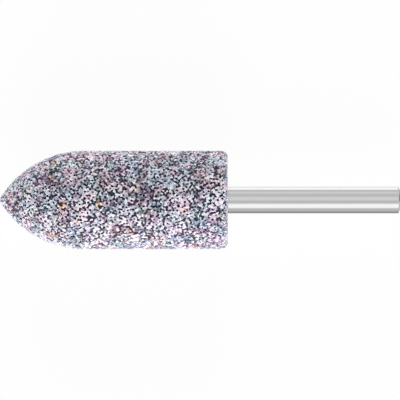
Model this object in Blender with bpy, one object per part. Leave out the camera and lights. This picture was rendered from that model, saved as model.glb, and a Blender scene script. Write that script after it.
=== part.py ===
"""A mounted point: a tree-shaped abrasive head of bonded grain, cemented on a straight steel shank.

Metres, with the tool's axis along X. The shank's free end is at the origin and the head's tip at -X.
"""

import math
import random

import bmesh
import bpy
from mathutils import Matrix, Vector

# Abrasive head: a cylinder with a pointed nose drawn by two arcs, as in a pointed arch
HEAD_DIAMETER = 0.0222
HEAD_LENGTH = 0.0512
NOSE_ARC_RADIUS = 0.0222
TIP_RADIUS = 0.0015
REAR_CORNER_RADIUS = 0.0014
GRAIN_RELIEF = 0.0003  # depth of the deepest pits between grains
GRAIN_STEEPNESS = 0.35  # a pit's most depth as a share of the facet's width, which narrows at the tip
GRAIN_STRAY = 0.7  # how far a facet's corner may stray round the axis, as a share of the facet's width
GRAIN_SEED = 24

# Steel shank
SHANK_DIAMETER = 0.0060
SHANK_REACH = 0.0388  # what stands out of the head
SHANK_SEATED = 0.0250  # what is cemented inside the head
CHAMFER_LENGTH = 0.00035
CHAMFER_DEPTH = 0.0008
KNURL_INSET = 0.0060  # plain shank between the knurl and the head's rear face
KNURL_RUNOUT = 0.0005
KNURL_DEPTH = 0.00025

# Cement between the two
CEMENT_WALL = 0.0008
CEMENT_RECESS = 0.0002  # how far it stops short of the head's rear face
CLEARANCE = 0.0003

# Facets
FACET_LENGTH = 0.00097  # along the head's profile
HEAD_FACETS = 72
SHANK_FACETS = 48  # a whole number of knurl teeth, each a ridge and a valley

head_radius = HEAD_DIAMETER / 2
shank_radius = SHANK_DIAMETER / 2
cement_bore_radius = shank_radius + CLEARANCE
cement_radius = cement_bore_radius + CEMENT_WALL
head_bore_radius = cement_radius + CLEARANCE

rear_x = -SHANK_REACH
tip_x = rear_x - HEAD_LENGTH
shank_inner_x = rear_x - SHANK_SEATED
knurl_end_x = rear_x - KNURL_INSET
cement_bore_end_x = shank_inner_x - CLEARANCE
cement_end_x = cement_bore_end_x - CEMENT_WALL
head_bore_end_x = cement_end_x - CLEARANCE


def clear_scene():
    """Remove what the scene holds, so that the file starts empty."""
    for old in list(bpy.data.objects):
        bpy.data.objects.remove(old, do_unlink=True)


def material(name, colour, roughness, metallic=0.0):
    """A Principled material with the finish that the photograph shows."""
    made = bpy.data.materials.new(name)
    made.use_nodes = True
    shader = made.node_tree.nodes["Principled BSDF"]
    shader.inputs["Base Color"].default_value = (*colour, 1.0)
    shader.inputs["Roughness"].default_value = roughness
    shader.inputs["Metallic"].default_value = metallic
    return made


def rows_over(length):
    """How many rows of facets a stretch of the head's profile takes."""
    return max(1, round(length / FACET_LENGTH))


def arc(centre, radius, start, end):
    """Points (x, r) along an arc, its angles measured from +X towards the rim, both ends included."""
    rows = rows_over(radius * abs(end - start))
    angles = [start + (end - start) * row / rows for row in range(rows + 1)]
    return [
        (centre[0] + radius * math.cos(a), centre[1] + radius * math.sin(a)) for a in angles
    ]


def line(start, end):
    """Points (x, r) along a straight stretch, both ends left out."""
    rows = rows_over(math.dist(start, end))
    shares = [row / rows for row in range(1, rows)]
    return [
        (start[0] + (end[0] - start[0]) * s, start[1] + (end[1] - start[1]) * s) for s in shares
    ]


def turned(name, profile, facets, finish):
    """Spin a profile of (x, r) points about X into a closed solid. It starts and ends on the axis."""
    mesh = bmesh.new()
    points = [mesh.verts.new((x, r, 0.0)) for x, r in profile]
    edges = [mesh.edges.new(pair) for pair in zip(points, points[1:])]
    bmesh.ops.spin(
        mesh,
        geom=points + edges,
        cent=(0.0, 0.0, 0.0),
        axis=(1.0, 0.0, 0.0),
        angle=math.tau,
        steps=facets,
        use_merge=True,
    )
    bmesh.ops.remove_doubles(mesh, verts=mesh.verts, dist=1e-7)
    bmesh.ops.recalc_face_normals(mesh, faces=mesh.faces)
    data = bpy.data.meshes.new(name)
    mesh.to_mesh(data)
    mesh.free()
    data.shade_smooth()
    data.set_sharp_from_angle(angle=math.radians(35))
    data.materials.append(finish)
    made = bpy.data.objects.new(name, data)
    bpy.context.scene.collection.objects.link(made)
    return made


def nose_profile():
    """The blunt tip and the long arc that meets the cylinder without a corner."""
    arc_centre_r = head_radius - NOSE_ARC_RADIUS
    reach = math.sqrt((NOSE_ARC_RADIUS - TIP_RADIUS) ** 2 - arc_centre_r**2)
    tip_centre_x = tip_x + TIP_RADIUS
    meet = math.atan2(-arc_centre_r, -reach)
    tip = arc((tip_centre_x, 0.0), TIP_RADIUS, math.pi, meet)
    side = arc((tip_centre_x + reach, arc_centre_r), NOSE_ARC_RADIUS, meet, math.pi / 2)
    return tip + side[1:]


def head_profile():
    """Tip to rear face, then down the blind bore that the shank is cemented in."""
    nose = nose_profile()
    corner_centre = (rear_x - REAR_CORNER_RADIUS, head_radius - REAR_CORNER_RADIUS)
    corner = arc(corner_centre, REAR_CORNER_RADIUS, math.pi / 2, 0.0)
    bore_mouth = (rear_x, head_bore_radius)
    return [
        *nose,
        *line(nose[-1], corner[0]),
        *corner,
        *line(corner[-1], bore_mouth),
        bore_mouth,
        (head_bore_end_x, head_bore_radius),
        (head_bore_end_x, 0.0),
    ]


def roughen(head):
    """Stray and sink the corners of the outer facets by chance, as pits between grains.

    Each corner strays round the axis and sinks along the normal, so no grain stands out of the form. The
    bore stays smooth.
    """
    chance = random.Random(GRAIN_SEED)
    mesh = bmesh.new()
    mesh.from_mesh(head.data)
    for corner in mesh.verts:
        radius = math.hypot(corner.co.y, corner.co.z)
        in_bore = corner.co.x > head_bore_end_x - CLEARANCE and radius < head_bore_radius + CLEARANCE
        if in_bore or radius < TIP_RADIUS / 2:
            continue
        facet_width = math.tau * radius / HEAD_FACETS
        stray = math.tau / HEAD_FACETS * GRAIN_STRAY * (chance.random() - 0.5)
        sink = min(GRAIN_RELIEF, GRAIN_STEEPNESS * facet_width) * chance.random()
        corner.co = Matrix.Rotation(stray, 3, "X") @ (corner.co - corner.normal * sink)
    bmesh.ops.triangulate(mesh, faces=mesh.faces, quad_method="SHORT_EDGE")
    mesh.to_mesh(head.data)
    mesh.free()


def build_head():
    finish = material("bonded grain", (0.37, 0.36, 0.41), 0.85)
    head = turned("abrasive_head", head_profile(), HEAD_FACETS, finish)
    roughen(head)


def build_cement():
    """A cup of set cement, open to the rear, with the shank's end inside it."""
    mouth_x = rear_x - CEMENT_RECESS
    profile = [
        (cement_end_x, 0.0),
        (cement_end_x, cement_radius),
        (mouth_x, cement_radius),
        (mouth_x, cement_bore_radius),
        (cement_bore_end_x, cement_bore_radius),
        (cement_bore_end_x, 0.0),
    ]
    finish = material("set cement", (0.42, 0.40, 0.37), 0.9)
    turned("bonding_cement", profile, SHANK_FACETS, finish)


def knurl(shank):
    """Cut straight teeth along the shank's seated end: every other line of vertices sinks."""
    pitch = math.tau / SHANK_FACETS
    for vertex in shank.data.vertices:
        radius = math.hypot(vertex.co.y, vertex.co.z)
        on_rim = radius > shank_radius - KNURL_DEPTH
        valley = round(math.atan2(vertex.co.z, vertex.co.y) / pitch) % 2
        if valley and on_rim and vertex.co.x < knurl_end_x:
            sunk = (radius - KNURL_DEPTH) / radius
            vertex.co = Vector((vertex.co.x, vertex.co.y * sunk, vertex.co.z * sunk))


def build_shank():
    """A straight ground pin with a chamfered free end and a knurled seated end."""
    profile = [
        (shank_inner_x, 0.0),
        (shank_inner_x, shank_radius),
        (knurl_end_x - KNURL_RUNOUT, shank_radius),
        (knurl_end_x, shank_radius),
        (-CHAMFER_LENGTH, shank_radius),
        (0.0, shank_radius - CHAMFER_DEPTH),
        (0.0, 0.0),
    ]
    finish = material("ground steel", (0.62, 0.62, 0.63), 0.25, metallic=1.0)
    shank = turned("shank", profile, SHANK_FACETS, finish)
    knurl(shank)


clear_scene()
build_head()
build_cement()
build_shank()
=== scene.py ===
"""The looks of a mounted point: a tree-shaped head of bonded abrasive grain on a bright steel shank.

Metres, in the CAD's frame: the tool's axis is X, the shank's free end is at the origin and the
head's tip points to -X.
"""

import math
import random

import bpy
import numpy as np
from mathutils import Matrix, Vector, kdtree


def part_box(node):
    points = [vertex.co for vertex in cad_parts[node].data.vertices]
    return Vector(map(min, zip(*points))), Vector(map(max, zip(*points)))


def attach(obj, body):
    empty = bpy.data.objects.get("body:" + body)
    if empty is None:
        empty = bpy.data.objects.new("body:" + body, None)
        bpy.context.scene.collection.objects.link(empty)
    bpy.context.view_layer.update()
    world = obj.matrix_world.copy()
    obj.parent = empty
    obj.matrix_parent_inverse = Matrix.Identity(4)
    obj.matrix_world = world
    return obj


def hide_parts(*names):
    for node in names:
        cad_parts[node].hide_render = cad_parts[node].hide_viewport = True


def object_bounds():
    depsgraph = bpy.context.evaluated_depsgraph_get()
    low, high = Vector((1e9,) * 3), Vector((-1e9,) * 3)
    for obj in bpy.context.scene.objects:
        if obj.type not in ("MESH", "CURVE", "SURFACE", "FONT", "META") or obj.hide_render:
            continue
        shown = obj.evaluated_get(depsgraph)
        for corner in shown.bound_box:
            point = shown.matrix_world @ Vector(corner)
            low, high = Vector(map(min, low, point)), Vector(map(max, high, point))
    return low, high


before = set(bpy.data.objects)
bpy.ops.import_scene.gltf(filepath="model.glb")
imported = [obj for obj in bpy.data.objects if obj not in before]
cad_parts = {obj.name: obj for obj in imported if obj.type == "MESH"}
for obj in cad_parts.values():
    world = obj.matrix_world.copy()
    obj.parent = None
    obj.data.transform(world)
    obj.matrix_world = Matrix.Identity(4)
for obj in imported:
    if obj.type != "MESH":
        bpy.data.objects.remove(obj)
cad_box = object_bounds()
shank_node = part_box("shank")
head_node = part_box("abrasive_head")


# The shank is one bar of steel, turned and then ground to 6 mm between a grinding wheel and a
# control wheel, which leaves fine rings round it. Its free end is chamfered so that it slips into a
# collet, and its seated end is knurled, so that the cement holds it.
SHANK_RADIUS = shank_node[1].z
SHANK_INNER_X = shank_node[0].x
KNURL_TEETH = 24
COLUMNS_PER_TOOTH = 4
SHANK_COLUMNS = KNURL_TEETH * COLUMNS_PER_TOOTH
CHAMFER_LENGTH = 0.00035
CHAMFER_DEPTH = 0.0008
EDGE_ROUND = 0.00006
KNURL_INNER_END_X = SHANK_INNER_X + 0.0006
KNURL_OUTER_END_X = -0.0448
KNURL_RUNOUT = 0.0005
KNURL_DEPTH = 0.00025
EDGE_GUARD = 0.0002  # from an edge to the ring that keeps its rounding off the smooth length
SAME_PLACE = 0.000001  # two places closer than this are one
STEEL = (0.79, 0.79, 0.80, 1.0)
GRINDING_RINGS = (9000.0, 60.0, 60.0)  # how often they come in a metre, along and across the bar
GRINDING_BANDS = (420.0, 8.0, 8.0)  # wider stretches that were ground a little more or less
RING_DEPTH = 0.00002
SMUDGES = 160.0
LEAST_ROUGHNESS = 0.07
BAND_ROUGHNESS = 0.07
SMUDGE_ROUGHNESS = 0.05


def deselect():
    """Leave object mode with nothing selected, so that an operator acts on the new piece alone."""
    if bpy.context.mode != "OBJECT":
        bpy.ops.object.mode_set(mode="OBJECT")
    bpy.ops.object.select_all(action="DESELECT")


def name_piece(name):
    """Name the active object and its mesh, and set its place into the mesh."""
    piece = bpy.context.active_object
    piece.name = name
    piece.data.name = name
    bpy.ops.object.transform_apply(location=True, rotation=True, scale=True)
    return piece


def pick(piece, kind, chosen):
    """In edit mode, select the vertices, edges or faces for which chosen(points) is true."""
    bpy.ops.object.mode_set(mode="EDIT")
    bpy.ops.mesh.select_mode(type=kind)
    bpy.ops.mesh.select_all(action="DESELECT")
    bpy.ops.object.mode_set(mode="OBJECT")
    mesh = piece.data
    parts = {"VERT": mesh.vertices, "EDGE": mesh.edges, "FACE": mesh.polygons}[kind]
    for part in parts:
        corners = [part.index] if kind == "VERT" else part.vertices
        part.select = chosen([mesh.vertices[i].co for i in corners])
    bpy.ops.object.mode_set(mode="EDIT")


class Level:
    """A shader node's output: a number or colour that varies over a surface, or a shader."""

    def __init__(self, finish, socket):
        self.finish = finish
        self.socket = socket

    def sum_of(self, operation, first, second):
        return self.finish.add("ShaderNodeMath", {"operation": operation}, {0: first, 1: second})

    def __add__(self, other):
        return self.sum_of("ADD", self, other)

    def __sub__(self, other):
        return self.sum_of("SUBTRACT", self, other)

    def __rsub__(self, other):
        return self.sum_of("SUBTRACT", other, self)

    def __mul__(self, other):
        return self.sum_of("MULTIPLY", self, other)

    __radd__ = __add__
    __rmul__ = __mul__


class Finish:
    """A node material, or the world's nodes, built node by node."""

    def __init__(self, owner):
        owner.use_nodes = True
        self.owner = owner
        self.tree = owner.node_tree
        self.tree.nodes.clear()

    def add(self, kind, settings=None, sockets=None, out=0):
        """One node: its settings first, then its sockets' values or links. Returns an output."""
        node = self.tree.nodes.new(kind)
        for name, value in (settings or {}).items():
            if name == "stops":
                ramp = node.color_ramp
                while len(ramp.elements) < len(value):
                    ramp.elements.new(0.5)
                for stop, (place, colour) in zip(ramp.elements, value):
                    stop.position = place
                    stop.color = colour
            else:
                setattr(node, name, value)
        for name, value in (sockets or {}).items():
            if isinstance(value, Level):
                self.tree.links.new(value.socket, node.inputs[name])
            else:
                node.inputs[name].default_value = value
        return Level(self, node.outputs[out])

    def blend(self, way, share, first, second):
        """Two colours mixed in the way that a paint program names."""
        settings = {"data_type": "RGBA", "blend_type": way}
        return self.add("ShaderNodeMix", settings, {0: share, 6: first, 7: second}, 2)

    def surface(self, shader):
        """Link the finished shader to the output."""
        kind = "ShaderNodeOutputWorld" if self.owner.id_type == "WORLD" else "ShaderNodeOutputMaterial"
        output = self.tree.nodes.new(kind)
        self.tree.links.new(shader.socket, output.inputs["Surface"])
        return self.owner


deselect()
bpy.ops.mesh.primitive_cylinder_add(
    vertices=SHANK_COLUMNS,
    radius=SHANK_RADIUS,
    depth=-SHANK_INNER_X - CHAMFER_LENGTH,
    location=((SHANK_INNER_X - CHAMFER_LENGTH) / 2, 0.0, 0.0),
    rotation=(0.0, math.pi / 2, 0.0),
)
shank = name_piece("ground_shank")

# The chamfer: the end face is drawn out and narrowed, and its two edges are softened
pick(shank, "FACE", lambda points: all(p.x > -CHAMFER_LENGTH - SAME_PLACE for p in points))
bpy.ops.mesh.extrude_region_move(TRANSFORM_OT_translate={"value": (CHAMFER_LENGTH, 0.0, 0.0)})
narrowed = 1 - CHAMFER_DEPTH / SHANK_RADIUS
bpy.ops.transform.resize(value=(1.0, narrowed, narrowed), center_override=(0.0, 0.0, 0.0))
pick(
    shank,
    "EDGE",
    lambda points: abs(points[0].x - points[1].x) < SAME_PLACE
    and points[0].x > -CHAMFER_LENGTH - SAME_PLACE,
)
bpy.ops.mesh.bevel(offset=EDGE_ROUND, segments=3)

# The knurl: rings bound it, and every second pair of columns is pressed in between them
for ring_x in (
    -CHAMFER_LENGTH - EDGE_ROUND - EDGE_GUARD,
    KNURL_OUTER_END_X + EDGE_GUARD,
    KNURL_OUTER_END_X,
    KNURL_OUTER_END_X - KNURL_RUNOUT,
    KNURL_INNER_END_X + KNURL_RUNOUT,
    KNURL_INNER_END_X,
):
    bpy.ops.mesh.select_all(action="SELECT")
    bpy.ops.mesh.bisect(plane_co=(ring_x, 0.0, 0.0), plane_no=(1.0, 0.0, 0.0))


def in_knurl_valley(points):
    """Whether a vertex of the knurl's stretch lies in one of its straight valleys."""
    place = points[0]
    column = round(math.atan2(place.z, place.y) / math.tau * SHANK_COLUMNS)
    low_x = KNURL_INNER_END_X + KNURL_RUNOUT - SAME_PLACE
    high_x = KNURL_OUTER_END_X - KNURL_RUNOUT + SAME_PLACE
    return low_x < place.x < high_x and column % COLUMNS_PER_TOOTH < COLUMNS_PER_TOOTH // 2


pick(shank, "VERT", in_knurl_valley)
pressed = 1 - KNURL_DEPTH / SHANK_RADIUS
bpy.ops.transform.resize(value=(1.0, pressed, pressed), center_override=(0.0, 0.0, 0.0))
deselect()
shank.select_set(True)
bpy.ops.object.shade_smooth_by_angle(angle=math.radians(30))

finish = Finish(bpy.data.materials.new("ground steel"))
where = finish.add("ShaderNodeTexCoord", out="Object")
rings = finish.add("ShaderNodeMapping", {}, {"Vector": where, "Scale": GRINDING_RINGS})
ring_height = finish.add("ShaderNodeTexNoise", {}, {"Vector": rings, "Scale": 1.0, "Detail": 2.0})
bands = finish.add("ShaderNodeMapping", {}, {"Vector": where, "Scale": GRINDING_BANDS})
band = finish.add("ShaderNodeTexNoise", {}, {"Vector": bands, "Scale": 1.0, "Detail": 3.0})
smudge = finish.add("ShaderNodeTexNoise", {}, {"Vector": where, "Scale": SMUDGES, "Detail": 4.0})
roughness = LEAST_ROUGHNESS + BAND_ROUGHNESS * band + SMUDGE_ROUGHNESS * smudge
relief = finish.add(
    "ShaderNodeBump", {}, {"Height": ring_height, "Strength": 0.12, "Distance": RING_DEPTH}
)
steel = finish.add(
    "ShaderNodeBsdfPrincipled",
    {},
    {"Base Color": STEEL, "Metallic": 1.0, "Roughness": roughness, "Normal": relief},
)
shank.data.materials.append(finish.surface(steel))
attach(shank, "root")
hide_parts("shank")


# The cement is a filled resin, poured round the shank in the head's hole and left to set. It ends a
# little short of the head's rear face, where it climbs both walls in a shallow hollow.
HEAD_REAR_X = head_node[1].x
HOLE_END_X = -0.0652
CEMENT_INNER_RADIUS = 0.00296
CEMENT_OUTER_RADIUS = 0.00445
CEMENT_RIM_X = HEAD_REAR_X - 0.00012
CEMENT_HOLLOW = 0.00016
CEMENT_FLOOR = 0.0009  # from the hole's end to the bottom of the cup
CEMENT_COLUMNS = 96
CEMENT_RINGS = 6  # from its outer to its inner rim
RING_SPARE = 0.00001  # how far an inset ring may be from its true radius
CEMENT_LUMP = 0.0007
CEMENT_LUMP_HEIGHT = 0.00012
CEMENT_SPECKS = 2600.0
CEMENT_STAINS = 420.0
STAIN_SHARE = 0.6  # of the cement's colour, beside the specks
CEMENT_ROUGHNESS = 0.7
SPECK_ROUGHNESS = 0.25
DARK_CEMENT = (0.12, 0.11, 0.10, 1.0)
CEMENT = (0.30, 0.28, 0.25, 1.0)
PALE_CEMENT = (0.46, 0.43, 0.38, 1.0)

deselect()
bpy.ops.mesh.primitive_cylinder_add(
    vertices=CEMENT_COLUMNS,
    radius=CEMENT_OUTER_RADIUS,
    depth=CEMENT_RIM_X - HOLE_END_X,
    location=((CEMENT_RIM_X + HOLE_END_X) / 2, 0.0, 0.0),
    rotation=(0.0, math.pi / 2, 0.0),
)
cement = name_piece("set_cement_ring")
pick(cement, "FACE", lambda points: all(p.x > CEMENT_RIM_X - SAME_PLACE for p in points))
wall = CEMENT_OUTER_RADIUS - CEMENT_INNER_RADIUS
for step in range(CEMENT_RINGS):
    bpy.ops.mesh.inset(thickness=wall / CEMENT_RINGS, depth=0.0)
bpy.ops.mesh.extrude_region_move(
    TRANSFORM_OT_translate={"value": (HOLE_END_X + CEMENT_FLOOR - CEMENT_RIM_X, 0.0, 0.0)}
)
for step in range(1, CEMENT_RINGS):
    ring_radius = CEMENT_OUTER_RADIUS - wall * step / CEMENT_RINGS
    pick(
        cement,
        "VERT",
        lambda points: points[0].x > CEMENT_RIM_X - SAME_PLACE
        and abs(math.hypot(points[0].y, points[0].z) - ring_radius) < RING_SPARE,
    )
    sunk = -CEMENT_HOLLOW * math.sin(math.pi * step / CEMENT_RINGS)
    bpy.ops.transform.translate(value=(sunk, 0.0, 0.0))
deselect()
cement.select_set(True)
bpy.context.view_layer.objects.active = cement
unevenness = bpy.data.textures.new("cement unevenness", "CLOUDS")
unevenness.noise_scale = CEMENT_LUMP
uneven = cement.modifiers.new("uneven", "DISPLACE")
uneven.texture = unevenness
uneven.texture_coords = "LOCAL"
uneven.direction = "X"
uneven.strength = CEMENT_LUMP_HEIGHT
uneven.mid_level = 0.5
bpy.ops.object.modifier_apply(modifier="uneven")
bpy.ops.object.shade_smooth_by_angle(angle=math.radians(40))

finish = Finish(bpy.data.materials.new("set cement"))
where = finish.add("ShaderNodeTexCoord", out="Object")
speck = finish.add(
    "ShaderNodeTexNoise", {}, {"Vector": where, "Scale": CEMENT_SPECKS, "Detail": 3.0}
)
stain = finish.add(
    "ShaderNodeTexNoise", {}, {"Vector": where, "Scale": CEMENT_STAINS, "Detail": 2.0}
)
colour = finish.add(
    "ShaderNodeValToRGB",
    {"stops": [(0.25, DARK_CEMENT), (0.5, CEMENT), (0.75, PALE_CEMENT)]},
    {"Fac": STAIN_SHARE * stain + (1 - STAIN_SHARE) * speck},
)
relief = finish.add("ShaderNodeBump", {}, {"Height": speck, "Strength": 0.5, "Distance": 0.0001})
roughness = CEMENT_ROUGHNESS + SPECK_ROUGHNESS * speck
shader = finish.add(
    "ShaderNodeBsdfPrincipled",
    {},
    {"Base Color": colour, "Roughness": roughness, "Normal": relief},
)
cement.data.materials.append(finish.surface(shader))
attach(cement, "root")
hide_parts("bonding_cement")


# The head's body is the ceramic bond, moulded with the grain in it and fired. It shows only at the
# bottom of the pores between the grains, as a net with paler crumbs of bond. Its near-black colour is
# partly the bond's own glassy colour and partly painted shade for the depth of the pores.
HEAD_RADIUS = 0.0111
TIP_X = -0.090
NOSE_ARC_RADIUS = 0.0222
TIP_RADIUS = 0.0015
REAR_CORNER_RADIUS = 0.0014
HOLE_RADIUS = 0.0044
BODY_DEPTH = 0.00030  # from the grains' tops down to the bond
BODY_COLUMNS = 96
BODY_ROW = 0.0008
CORNER_ROW = 0.0003
HOLE_ROW = 0.003
SEED_PLANE = 0.001  # the side of the plane whose last corner the outline is drawn from
CRUMB = 0.0006
CRUMB_HEIGHT = 0.00025
BOND_SPECKS = 2400.0
BOND_PATCHES = 700.0
SPECK_SHARE = 0.75  # of the bond's colour, beside the patches
BOND_ROUGHNESS = 0.45
CRUMB_ROUGHNESS = 0.4
GLASSY_DUST = 0.6  # the sheen of fine broken glass that veils the stone where it is seen at a slant
TINTS = 360.0  # how often the stain turns in a metre
RUST_SPOTS = 420.0
RUST = (1.0, 0.76, 0.46, 1.0)


def arc_points(centre_x, centre_r, radius, start, end, step):
    """Points (x, r) along an arc and at both its ends, with angles from +X towards the rim."""
    rows = max(2, round(radius * abs(end - start) / step))
    angles = [start + (end - start) * row / rows for row in range(rows + 1)]
    return [(centre_x + radius * math.cos(a), centre_r + radius * math.sin(a)) for a in angles]


def line_points(start, end, step):
    """Points (x, r) along a straight stretch, its start left out and its end included."""
    rows = max(1, round(math.dist(start, end) / step))
    return [
        (start[0] + (end[0] - start[0]) * row / rows, start[1] + (end[1] - start[1]) * row / rows)
        for row in range(1, rows + 1)
    ]


def head_outline(depth, step):
    """The head's profile from the tip to the edge of its hole, set depth below the grains' tops."""
    arc_centre_r = HEAD_RADIUS - NOSE_ARC_RADIUS
    reach = math.sqrt((NOSE_ARC_RADIUS - TIP_RADIUS) ** 2 - arc_centre_r**2)
    tip_centre_x = TIP_X + TIP_RADIUS
    arc_centre_x = tip_centre_x + reach
    meet = math.atan2(-arc_centre_r, -reach)
    outline = arc_points(tip_centre_x, 0.0, TIP_RADIUS - depth, math.pi, meet, step)
    outline += arc_points(
        arc_centre_x, arc_centre_r, NOSE_ARC_RADIUS - depth, meet, math.pi / 2, step
    )[1:]
    corner_x = HEAD_REAR_X - REAR_CORNER_RADIUS
    corner_r = HEAD_RADIUS - REAR_CORNER_RADIUS
    outline += line_points(outline[-1], (corner_x, HEAD_RADIUS - depth), step)
    outline += arc_points(
        corner_x, corner_r, REAR_CORNER_RADIUS - depth, math.pi / 2, 0.0, min(step, CORNER_ROW)
    )[1:]
    outline += line_points(outline[-1], (HEAD_REAR_X - depth, HOLE_RADIUS), step)
    return outline


body_outline = head_outline(BODY_DEPTH, BODY_ROW)
body_outline += line_points(body_outline[-1], (HOLE_END_X, HOLE_RADIUS), HOLE_ROW)
body_outline += [(HOLE_END_X, 0.0)]

deselect()
bpy.ops.mesh.primitive_plane_add(size=SEED_PLANE, location=(0.0, 0.0, 0.0))
body = name_piece("ceramic_bond")
pick(body, "VERT", lambda points: points[0].x < 0 or points[0].y < 0)
bpy.ops.mesh.delete(type="VERT")
bpy.ops.mesh.select_all(action="SELECT")
last = Vector((SEED_PLANE / 2, SEED_PLANE / 2, 0.0))
start = Vector((body_outline[0][0], 0.0, 0.0))
bpy.ops.transform.translate(value=start - last)
last = start
for x, r in body_outline[1:]:
    place = Vector((x, 0.0, r))
    bpy.ops.mesh.extrude_vertices_move(TRANSFORM_OT_translate={"value": place - last})
    last = place
bpy.ops.mesh.select_all(action="SELECT")
bpy.ops.mesh.spin(
    steps=BODY_COLUMNS, angle=math.tau, center=(0.0, 0.0, 0.0), axis=(1.0, 0.0, 0.0)
)
bpy.ops.mesh.select_all(action="SELECT")
bpy.ops.mesh.remove_doubles(threshold=SAME_PLACE)
bpy.ops.mesh.normals_make_consistent(inside=False)
bpy.ops.object.mode_set(mode="OBJECT")
subdivide = body.modifiers.new("finer", "SUBSURF")
subdivide.subdivision_type = "SIMPLE"
subdivide.levels = 1
subdivide.render_levels = 1
bpy.ops.object.modifier_apply(modifier="finer")
crumbs = bpy.data.textures.new("bond crumbs", "CLOUDS")
crumbs.noise_scale = CRUMB
crumbs.noise_depth = 2
crumbly = body.modifiers.new("crumbly", "DISPLACE")
crumbly.texture = crumbs
crumbly.texture_coords = "LOCAL"
crumbly.strength = CRUMB_HEIGHT
crumbly.mid_level = 0.6
bpy.ops.object.modifier_apply(modifier="crumbly")
bpy.ops.object.shade_smooth_by_angle(angle=math.radians(60))


def head_stain(finish, where, colour, strength):
    """A stone's colour under the head's stain: slate blue to mauve, with a few rusty spots."""
    redness = finish.add("ShaderNodeTexNoise", {}, {"Vector": where, "Scale": TINTS, "Detail": 1.0})
    rose = finish.add(
        "ShaderNodeValToRGB",
        {
            "stops": [
                (0.31, (0.52, 0.86, 0.93, 1.0)),
                (0.41, (0.68, 0.87, 0.92, 1.0)),
                (0.50, (0.87, 0.85, 0.89, 1.0)),
                (0.59, (1.00, 0.68, 0.83, 1.0)),
                (0.69, (1.00, 0.48, 0.68, 1.0)),
            ]
        },
        {"Fac": redness},
    )
    blueness = finish.add(
        "ShaderNodeTexNoise",
        {"noise_dimensions": "4D"},
        {"Vector": where, "Scale": TINTS, "Detail": 1.0, "W": 3.0},
    )
    blue = finish.add(
        "ShaderNodeValToRGB",
        {
            "stops": [
                (0.31, (1.0, 1.0, 0.80, 1.0)),
                (0.50, (1.0, 1.0, 1.0, 1.0)),
                (0.69, (0.78, 0.78, 1.0, 1.0)),
            ]
        },
        {"Fac": blueness},
    )
    spot = finish.add(
        "ShaderNodeTexNoise",
        {"noise_dimensions": "4D"},
        {"Vector": where, "Scale": RUST_SPOTS, "Detail": 0.0, "W": 8.0},
    )
    rusty = finish.add(
        "ShaderNodeValToRGB",
        {"stops": [(0.715, (0.0, 0.0, 0.0, 1.0)), (0.78, (1.0, 1.0, 1.0, 1.0))]},
        {"Fac": spot},
    )
    stained = finish.blend("MULTIPLY", strength, colour, rose)
    stained = finish.blend("MULTIPLY", strength, stained, blue)
    return finish.blend("MULTIPLY", rusty, stained, RUST)


finish = Finish(bpy.data.materials.new("fired ceramic bond"))
where = finish.add("ShaderNodeTexCoord", out="Object")
crumb = finish.add("ShaderNodeTexNoise", {}, {"Vector": where, "Scale": BOND_SPECKS, "Detail": 2.0})
patch = finish.add("ShaderNodeTexNoise", {}, {"Vector": where, "Scale": BOND_PATCHES, "Detail": 1.0})
# The lowest stops are near black: partly the bond's own colour, partly painted shade in the pores.
colour = finish.add(
    "ShaderNodeValToRGB",
    {
        "stops": [
            (0.36, (0.010, 0.010, 0.019, 1.0)),
            (0.50, (0.033, 0.032, 0.054, 1.0)),
            (0.62, (0.10, 0.096, 0.14, 1.0)),
            (0.74, (0.24, 0.23, 0.29, 1.0)),
        ]
    },
    {"Fac": SPECK_SHARE * crumb + (1 - SPECK_SHARE) * patch},
)
colour = head_stain(finish, where, colour, 1.0)
relief = finish.add("ShaderNodeBump", {}, {"Height": crumb, "Strength": 0.6, "Distance": 0.0001})
shader = finish.add(
    "ShaderNodeBsdfPrincipled",
    {},
    {
        "Base Color": colour,
        "Roughness": BOND_ROUGHNESS + CRUMB_ROUGHNESS * crumb,
        "Specular IOR Level": 0.15,
        "Sheen Weight": GLASSY_DUST,
        "Sheen Roughness": 0.5,
        "Normal": relief,
    },
)
body.data.materials.append(finish.surface(shader))
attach(body, "root")
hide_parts("abrasive_head")


# The grains are crushed fused alumina, about half a millimetre across, stained lilac, mauve, blue
# grey and here and there amber. Each is a sharp chip, half sunk in the bond, whose outer side was
# dressed flush with the head's turned shape. Burnt-out filler leaves round pores between them.
GRAIN_PITCH = 0.00040
GRAIN_SEED = 2
GRAIN_SUNK = 0.35  # of a grain's radius, from the head's surface to the grain's centre
DRESSED_SLOPE = 0.45
STRAY = 0.30  # of the pitch
MASTER_CUTS = 5
MASTERS = 4
CHIP_BLANK = 1.5  # the side of the cube that is broken, for a chip of unit radius
CUT_STRAY = 0.3  # of the turn from one cut to the next
CUT_TILT = (25, 60)  # degrees
CUT_REACH = (0.62, 0.86)
GRAIN_RADIUS = (0.00038, 0.00052)
DRESSED_DEPTH = (0.0, 0.00012)
LEAST_DRESSED = 0.00001
PORE_AREA = 0.63e-6  # of the head's surface, for each pore
PORE_APART = 0.00052
PORE_RADIUS = (0.00018, 0.00034)
LARGE_PORES_RARER = 1.4  # a power of chance
PORE_TRIES = 2.6  # for each pore that the head has room for
PORE_RIM = 0.00003  # the least of a grain that stands beside a pore
PAINTED_RIM_LIGHT = 0.10  # in tone, split between a painted highlight on a grain's edges beside a pore and the rest of it
PAINTED_DEPTH_SHADE = 0.10  # in tone, painted shade on a grain's buried side, darker with its depth
DEPTH_SHADE_SPAN = (0.0002, 0.0005)  # the depths over which the painted shade deepens
PATCH = 0.0034  # how wide the paler and the darker patches are
PATCH_SHARE = 0.20  # of the grains' differences in tone
PATCH_SWING = 0.35  # in tone, for a field of unit spread
CLUSTER = 0.00085  # how wide a few grains of about one tone are together
CLUSTER_SHARE = 0.15
CLUSTER_SWING = 0.6
FIELD_WAVES = 60
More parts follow.
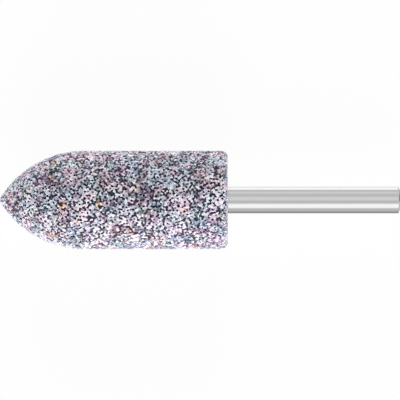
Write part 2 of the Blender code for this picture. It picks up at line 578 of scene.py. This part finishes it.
WAVE_SPREAD = (0.6, 1.4)  # the waves' pace, as a share of the usual one
FINE_ROW = 0.00002
TIP_RING = 0.0006  # the narrowest ring on which a grain's stray is turned into an angle
STAIN = 0.66  # its strength on the darkest grains
STAIN_LOST = 0.5  # on the palest ones
GRAIN_SPECKS = 5200.0
MOTTLE = 0.2  # in tone, within a grain
GRAIN_ROUGHNESS = 0.35
MOTTLE_ROUGHNESS = 0.4
MAP_ACROSS = 0.75  # how much of a grain's breadth its picture on the map shows
MAP_DOWN = (0.31, 0.23)  # how far its depth shifts that picture
MAP_SPAN = 2.4  # of a grain's radius, for a cell
MAP_MARGIN = 0.03  # of a cell
MOST_GRAINS = 5800  # in one piece

chance = np.random.default_rng(GRAIN_SEED)
cut_chance = random.Random(GRAIN_SEED)


def broken_chip(number):
    """A cube broken by five cleavage planes: a chip of unit size with eleven facets."""
    deselect()
    bpy.ops.mesh.primitive_cube_add(size=CHIP_BLANK, location=(0.0, 0.0, 0.0))
    chip = name_piece(f"chip_{number}")
    bpy.ops.object.mode_set(mode="EDIT")
    for cut in range(MASTER_CUTS):
        bpy.ops.mesh.select_all(action="SELECT")
        turn = math.tau * (cut + cut_chance.uniform(-CUT_STRAY, CUT_STRAY)) / MASTER_CUTS
        tilt = math.radians(cut_chance.uniform(*CUT_TILT)) * (1 if cut % 2 else -1)
        facing = Vector(
            (math.cos(turn) * math.cos(tilt), math.sin(turn) * math.cos(tilt), math.sin(tilt))
        )
        bpy.ops.mesh.bisect(
            plane_co=facing * cut_chance.uniform(*CUT_REACH),
            plane_no=facing,
            use_fill=True,
            clear_outer=True,
        )
    bpy.ops.mesh.select_all(action="SELECT")
    bpy.ops.mesh.quads_convert_to_tris()
    bpy.ops.object.mode_set(mode="OBJECT")
    mesh = chip.data
    points = np.array([v.co for v in mesh.vertices])
    faces = np.array([p.vertices for p in mesh.polygons])
    bpy.data.objects.remove(chip, do_unlink=True)
    return points - points.mean(axis=0), faces


masters = [broken_chip(number) for number in range(MASTERS)]

# The head's surface as fine rings, from which places are drawn evenly over its area
fine_outline = np.array(head_outline(0.0, FINE_ROW))
steps = np.diff(fine_outline, axis=0)
lengths = np.hypot(steps[:, 0], steps[:, 1])
ring_areas = math.tau * lengths * (fine_outline[1:, 1] + fine_outline[:-1, 1]) / 2
area_up_to = np.concatenate([[0.0], np.cumsum(ring_areas)])
length_up_to = np.concatenate([[0.0], np.cumsum(lengths)])
row_middles = (length_up_to[1:] + length_up_to[:-1]) / 2
golden_turn = math.pi * (3 - math.sqrt(5))


def on_head(along, turn):
    """Places on the head, from the way along its outline and the turn round its axis."""
    x = np.interp(along, length_up_to, fine_outline[:, 0])
    r = np.interp(along, length_up_to, fine_outline[:, 1])
    return np.stack([x, r * np.cos(turn), r * np.sin(turn)], axis=1)


def smooth_field(points, patch):
    """A random field of unit spread over the points, made of waves about two patches long."""
    total = np.zeros(len(points))
    for _ in range(FIELD_WAVES):
        heading = chance.normal(size=3)
        heading /= np.linalg.norm(heading)
        pace = math.pi / patch * chance.uniform(*WAVE_SPREAD)
        total += np.sin(points @ heading * pace + chance.uniform(0, math.tau))
    return total / math.sqrt(FIELD_WAVES / 2)


# Pores lie at random, each at least PORE_APART from the others
pore_tries = int(area_up_to[-1] / PORE_AREA * PORE_TRIES)
along = np.interp(chance.random(pore_tries) * area_up_to[-1], area_up_to, length_up_to)
tried = on_head(along, chance.uniform(0, math.tau, pore_tries))
taken = {}
pores = []
for place in tried:
    cell = tuple((place // PORE_APART).astype(int))
    near = [
        other
        for dx in (-1, 0, 1)
        for dy in (-1, 0, 1)
        for dz in (-1, 0, 1)
        for other in taken.get((cell[0] + dx, cell[1] + dy, cell[2] + dz), [])
    ]
    if all(np.sum((place - other) ** 2) > PORE_APART**2 for other in near):
        taken.setdefault(cell, []).append(place)
        pores.append(place)
    if len(pores) * PORE_AREA > area_up_to[-1]:
        break
pore_share = chance.random(len(pores)) ** LARGE_PORES_RARER
pore_radius = PORE_RADIUS[0] + (PORE_RADIUS[1] - PORE_RADIUS[0]) * pore_share
pore_map = kdtree.KDTree(len(pores))
for number, pore in enumerate(pores):
    pore_map.insert(pore, number)
pore_map.balance()

# Each grain sits on an even spiral over the head, with a stray of its own
grain_count = int(area_up_to[-1] / GRAIN_PITCH**2)
area_share = (np.arange(grain_count) + 0.5) / grain_count * area_up_to[-1]
along = np.interp(area_share, area_up_to, length_up_to)
along += chance.uniform(-STRAY, STRAY, grain_count) * GRAIN_PITCH
along = np.clip(along, 0.0, length_up_to[-1])
ring_radius = np.maximum(np.interp(along, length_up_to, fine_outline[:, 1]), TIP_RING)
turn = np.arange(grain_count) * golden_turn
turn += chance.uniform(-STRAY, STRAY, grain_count) * GRAIN_PITCH / ring_radius
seats = on_head(along, turn)
slope_x = np.interp(along, row_middles, steps[:, 0] / lengths)
slope_r = np.interp(along, row_middles, steps[:, 1] / lengths)
slope_size = np.hypot(slope_x, slope_r)
slope_x, slope_r = slope_x / slope_size, slope_r / slope_size
outward = np.stack([-slope_r, slope_x * np.cos(turn), slope_x * np.sin(turn)], axis=1)
forward = np.stack([slope_x, slope_r * np.cos(turn), slope_r * np.sin(turn)], axis=1)
sideways = np.cross(outward, forward)
size = chance.uniform(*GRAIN_RADIUS, grain_count)
depth = chance.uniform(*DRESSED_DEPTH, grain_count)
tone = chance.random(grain_count) - 0.5
tone = 0.5 + (1 - PATCH_SHARE - CLUSTER_SHARE) * tone
tone += PATCH_SHARE * PATCH_SWING * smooth_field(seats, PATCH)
tone += CLUSTER_SHARE * CLUSTER_SWING * smooth_field(seats, CLUSTER)
slopes = chance.uniform(-DRESSED_SLOPE, DRESSED_SLOPE, (grain_count, 2))
turns = chance.normal(size=(grain_count, 4))
turns /= np.linalg.norm(turns, axis=1, keepdims=True)
which_master = chance.integers(0, MASTERS, grain_count)


def turned_by(quaternion, points):
    """The points turned by a unit quaternion."""
    w, x, y, z = quaternion
    spin = np.array(
        [
            [1 - 2 * (y * y + z * z), 2 * (x * y - z * w), 2 * (x * z + y * w)],
            [2 * (x * y + z * w), 1 - 2 * (x * x + z * z), 2 * (y * z - x * w)],
            [2 * (x * z - y * w), 2 * (y * z + x * w), 1 - 2 * (x * x + y * y)],
        ]
    )
    return points @ spin.T


def grain_finish(name, stops):
    """The stained ceramic of the grains. The attribute "tone" sets each grain apart, and also carries
    the painted highlight on its edges beside the pores and the painted shade down its buried side.
    """
    finish = Finish(bpy.data.materials.new(name))
    where = finish.add("ShaderNodeTexCoord", out="Object")
    shade = finish.add("ShaderNodeAttribute", {"attribute_name": "tone"}, out="Fac")
    mottle = finish.add(
        "ShaderNodeTexNoise", {}, {"Vector": where, "Scale": GRAIN_SPECKS, "Detail": 2.0}
    )
    mottled = shade + MOTTLE * mottle - MOTTLE / 2
    colour = finish.add("ShaderNodeValToRGB", {"stops": stops}, {"Fac": mottled})
    stained = head_stain(finish, where, colour, STAIN - STAIN_LOST * shade)
    relief = finish.add(
        "ShaderNodeBump", {}, {"Height": mottle, "Strength": 0.35, "Distance": 0.00005}
    )
    shader = finish.add(
        "ShaderNodeBsdfPrincipled",
        {},
        {
            "Base Color": stained,
            "Roughness": GRAIN_ROUGHNESS + MOTTLE_ROUGHNESS * mottle,
            "IOR": 1.6,
            "Specular IOR Level": 0.3,
            "Sheen Weight": GLASSY_DUST,
            "Sheen Roughness": 0.5,
            "Normal": relief,
        },
    )
    return finish.surface(shader)


def bedded(grain):
    """One grain about its seat, dressed on top and cut back from the pores, with its tones. These hold
    a painted highlight on its edges beside the pores and painted shade down its buried side.
    """
    points, faces = masters[which_master[grain]]
    local = turned_by(turns[grain], points) * size[grain]
    local[:, 2] -= GRAIN_SUNK * size[grain] + depth[grain]
    ceiling = -depth[grain] + local[:, :2] @ slopes[grain]
    local[:, 2] = np.minimum(local[:, 2], np.minimum(ceiling, -LEAST_DRESSED))
    lit_rim = np.zeros(len(local))
    for place, number, _ in pore_map.find_range(seats[grain], size[grain] + PORE_RADIUS[1]):
        toward = np.array(place) - seats[grain]
        toward = np.array([toward @ forward[grain], toward @ sideways[grain]])
        apart = np.hypot(*toward)
        room = apart - pore_radius[number]
        if room < PORE_RIM:
            return None
        away = -toward / apart
        short = np.maximum(-room - local[:, :2] @ away, 0.0)
        local[:, :2] += short[:, None] * away
        # Painted highlight: a grain's edges cut back beside a pore are marked, to be paler in tone.
        lit_rim[short > 0] = 1.0
    # Painted shade: a grain's buried side gets darker with its depth below the surface.
    depth_shade = np.clip((-local[:, 2] - DEPTH_SHADE_SPAN[0]) / (DEPTH_SHADE_SPAN[1] - DEPTH_SHADE_SPAN[0]), 0.0, 1.0)
    return local, faces, tone[grain] + PAINTED_RIM_LIGHT * (lit_rim - 0.5) - PAINTED_DEPTH_SHADE * depth_shade


def bed_grains(name, numbers, stone):
    """One piece of the grains numbered, each with its own cell on the piece's map."""
    grid = math.ceil(math.sqrt(len(numbers)))
    all_points, all_faces, all_tones, all_cells = [], [], [], []
    first = 0
    for order, grain in enumerate(numbers):
        local, faces, tones = beds[grain]
        placed = (
            seats[grain]
            + local[:, :1] * forward[grain]
            + local[:, 1:2] * sideways[grain]
            + local[:, 2:] * outward[grain]
        )
        spread = local[faces].reshape(-1, 3)
        flat = spread[:, :2] * MAP_ACROSS + spread[:, 2:] * np.array([MAP_DOWN])
        flat = flat / (MAP_SPAN * size[grain]) + 0.5
        column, row = order % grid, order // grid
        all_cells.append((np.clip(flat, MAP_MARGIN, 1 - MAP_MARGIN) + (column, row)) / grid)
        all_points.append(placed)
        all_faces.append(faces + first)
        all_tones.append(tones)
        first += len(local)
    points = np.concatenate(all_points)
    faces = np.concatenate(all_faces)
    mesh = bpy.data.meshes.new(name)
    mesh.vertices.add(len(points))
    mesh.vertices.foreach_set("co", points.ravel())
    mesh.loops.add(faces.size)
    mesh.loops.foreach_set("vertex_index", faces.ravel().astype(np.int32))
    mesh.polygons.add(len(faces))
    mesh.polygons.foreach_set("loop_start", np.arange(0, faces.size, 3, dtype=np.int32))
    mesh.update(calc_edges=True)
    shade = mesh.attributes.new("tone", "FLOAT", "POINT")
    shade.data.foreach_set("value", np.concatenate(all_tones))
    cells = mesh.uv_layers.new(name="OFBake")
    cells.data.foreach_set("uv", np.concatenate(all_cells).ravel())
    mesh.shade_flat()
    mesh.validate()
    piece = bpy.data.objects.new(name, mesh)
    bpy.context.scene.collection.objects.link(piece)
    mesh.materials.append(stone)
    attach(piece, "root")


stone = grain_finish(
    "stained alumina",
    [
        (0.0, (0.083, 0.082, 0.120, 1.0)),
        (0.22, (0.263, 0.257, 0.315, 1.0)),
        (0.45, (0.56, 0.54, 0.61, 1.0)),
        (0.70, (0.83, 0.805, 0.86, 1.0)),
        (1.0, (0.94, 0.915, 0.945, 1.0)),
    ],
)
beds = [bedded(grain) for grain in range(grain_count)]
standing = np.array([grain for grain in range(grain_count) if beds[grain] is not None])
shares = math.ceil(len(standing) / MOST_GRAINS)
for share in range(shares):
    bed_grains(f"grains_{share + 1}", standing[share::shares], stone)


# The studio: a white table under the tool, a plain room with a bright strip in front, two soft lamps
# before the tool and one behind it, and the long lens of a product photograph, looking straight
# down. The steel mirrors three soft boxes, and a dark and a white card, in place of the room.
FLOOR_Z = cad_box[0].z
FLOOR_SIZE = 6.0
TABLE_WHITE = (0.85, 0.85, 0.85, 1.0)
SEEN_WHITE = 0.95  # how much plain white the camera sees in place of the table and its shadow
PAST_END_X = 0.0035  # where the stretch of the table begins that only the chamfer mirrors
CAMERA_HEIGHT = 1.2
TOOL_LENGTH = 0.090
LAMPS = {
    "front_lamp": {"lean": (85, 0, 0), "power": 1.5, "width": 30},
    "upper_front_lamp": {"lean": (64, 0, 0), "power": 2.45, "width": 30},
    "back_lamp": {"lean": (-72, 0, 0), "power": 2.6, "width": 30},
}

# Brightness of the room as a light, by the degrees round the tool's axis: 0 straight up, 90 behind
FULL_TURN = 360
ROOM_TINT = (0.98, 0.98, 1.01)
ROOM = (
    (-90, 0.35),
    (-70, 0.40),
    (-60, 1.45),
    (-38, 1.45),
    (-25, 0.14),
    (25, 0.08),
    (40, 0.08),
    (80, 0.60),
)

# What the steel mirrors: strips of brightness on a plain level, each with its middle, its width and
# its level. The soft boxes are in degrees, as above. The cards lie on the table beside the shank,
# and the slim card past its end, in millimetres behind the tool's axis.
MIRRORED_PLAIN = 0.60
SOFT_BOXES = ((-54, 42, 1.15), (12, 32, 0.78), (67, 24, 0.76))
BOX_EDGE = 14
CARDS = ((-16, 26, 0.34), (47, 74, 1.16))
CARD_EDGE = 12
CARDS_SPAN = 400
SLIM_CARD = ((1.6, 5.4, 0.25),)
SLIM_EDGE = 1.2
SLIM_SPAN = 20
BRIGHTEST = 1.5  # the most that a ramp of what the steel mirrors can show


def strip_stops(strips, edge, span):
    """A ramp's stops for strips with soft edges, over a span of places about the ramp's middle."""
    levels = []
    for middle, width, level in strips:
        outer = (width + edge) / 2
        inner = (width - edge) / 2
        levels += [(middle - outer, MIRRORED_PLAIN), (middle - inner, level)]
        levels += [(middle + inner, level), (middle + outer, MIRRORED_PLAIN)]
    return [(0.5 + place / span, (level / BRIGHTEST,) * 3 + (1.0,)) for place, level in levels]


deselect()
bpy.ops.mesh.primitive_grid_add(
    x_subdivisions=8, y_subdivisions=8, size=FLOOR_SIZE, location=(-TOOL_LENGTH / 2, 0.0, FLOOR_Z)
)
table = name_piece("white_table")
finish = Finish(bpy.data.materials.new("white table"))
seen = finish.add("ShaderNodeLightPath", out="Is Camera Ray")
lighting = finish.add("ShaderNodeLightPath", out="Is Diffuse Ray")
mirrored = finish.add("ShaderNodeLightPath", out="Is Glossy Ray")
through = finish.add("ShaderNodeLightPath", out="Is Transmission Ray")
matt = finish.add("ShaderNodeBsdfDiffuse", {}, {"Color": TABLE_WHITE})
on_table = finish.add("ShaderNodeTexCoord", out="Object")
along_tool = finish.add("ShaderNodeSeparateXYZ", {}, {"Vector": on_table}, "X")
across = finish.add("ShaderNodeSeparateXYZ", {}, {"Vector": on_table}, "Y")
beside_shank = finish.add(
    "ShaderNodeValToRGB",
    {"stops": strip_stops(CARDS, CARD_EDGE, CARDS_SPAN)},
    {"Fac": across * (1000 / CARDS_SPAN) + 0.5},
)
past_end = finish.add(
    "ShaderNodeValToRGB",
    {"stops": strip_stops(SLIM_CARD, SLIM_EDGE, SLIM_SPAN)},
    {"Fac": across * (1000 / SLIM_SPAN) + 0.5},
)
is_past = finish.add(
    "ShaderNodeMath", {"operation": "GREATER_THAN"}, {0: along_tool, 1: PAST_END_X}
)
in_steel = finish.blend("MIX", is_past, beside_shank, past_end)
plain = (1 / BRIGHTEST,) * 3 + (1.0,)
glow_colour = finish.blend("MIX", mirrored, plain, in_steel)
glow = finish.add("ShaderNodeEmission", {}, {"Color": glow_colour, "Strength": BRIGHTEST})
white = finish.add(
    "ShaderNodeMixShader",
    {},
    {0: seen * SEEN_WHITE + lighting + mirrored + through, 1: matt, 2: glow},
)
table.data.materials.append(finish.surface(white))

studio = bpy.data.worlds.new("studio")
bpy.context.scene.world = studio
finish = Finish(studio)
toward = finish.add("ShaderNodeTexCoord", out="Generated")
side = finish.add("ShaderNodeSeparateXYZ", {}, {"Vector": toward}, out="Y")
rise = finish.add("ShaderNodeSeparateXYZ", {}, {"Vector": toward}, out="Z")
round_axis = finish.add("ShaderNodeMath", {"operation": "ARCTAN2"}, {0: side, 1: rise})
turn_share = round_axis * (1 / math.tau) + 0.5
boxes = finish.add(
    "ShaderNodeValToRGB",
    {"stops": strip_stops(SOFT_BOXES, BOX_EDGE, FULL_TURN)},
    {"Fac": turn_share},
)
walls = finish.add(
    "ShaderNodeValToRGB",
    {
        "stops": [
            (0.5 + angle / FULL_TURN, tuple(level * tint for tint in ROOM_TINT) + (1.0,))
            for angle, level in ROOM
        ]
    },
    {"Fac": turn_share},
)
seen = finish.add("ShaderNodeLightPath", out="Is Camera Ray")
mirrored = finish.add("ShaderNodeLightPath", out="Is Glossy Ray")
room = finish.add("ShaderNodeBackground", {}, {"Color": walls, "Strength": 1.0})
glow = finish.add("ShaderNodeBackground", {}, {"Color": boxes, "Strength": BRIGHTEST})
backdrop = finish.add("ShaderNodeBackground", {}, {"Color": (1.0, 1.0, 1.0, 1.0), "Strength": 1.0})
around = finish.add("ShaderNodeMixShader", {}, {0: mirrored, 1: room, 2: glow})
finish.surface(finish.add("ShaderNodeMixShader", {}, {0: seen, 1: around, 2: backdrop}))

for name, setting in LAMPS.items():
    light = bpy.data.lights.new(name, "SUN")
    light.energy = setting["power"]
    light.angle = math.radians(setting["width"])
    lamp = bpy.data.objects.new(name, light)
    lamp.rotation_euler = [math.radians(angle) for angle in setting["lean"]]
    lamp.visible_glossy = False
    bpy.context.scene.collection.objects.link(lamp)

lens = bpy.data.cameras.new("long lens")
lens.sensor_width = 36.0
lens.lens = lens.sensor_width * CAMERA_HEIGHT / TOOL_LENGTH
lens.clip_start = 0.01
lens.clip_end = 50.0
camera = bpy.data.objects.new("camera", lens)
camera.location = (-TOOL_LENGTH / 2, 0.0, CAMERA_HEIGHT)
bpy.context.scene.collection.objects.link(camera)
bpy.context.scene.camera = camera
bpy.context.scene.view_settings.view_transform = "Standard"
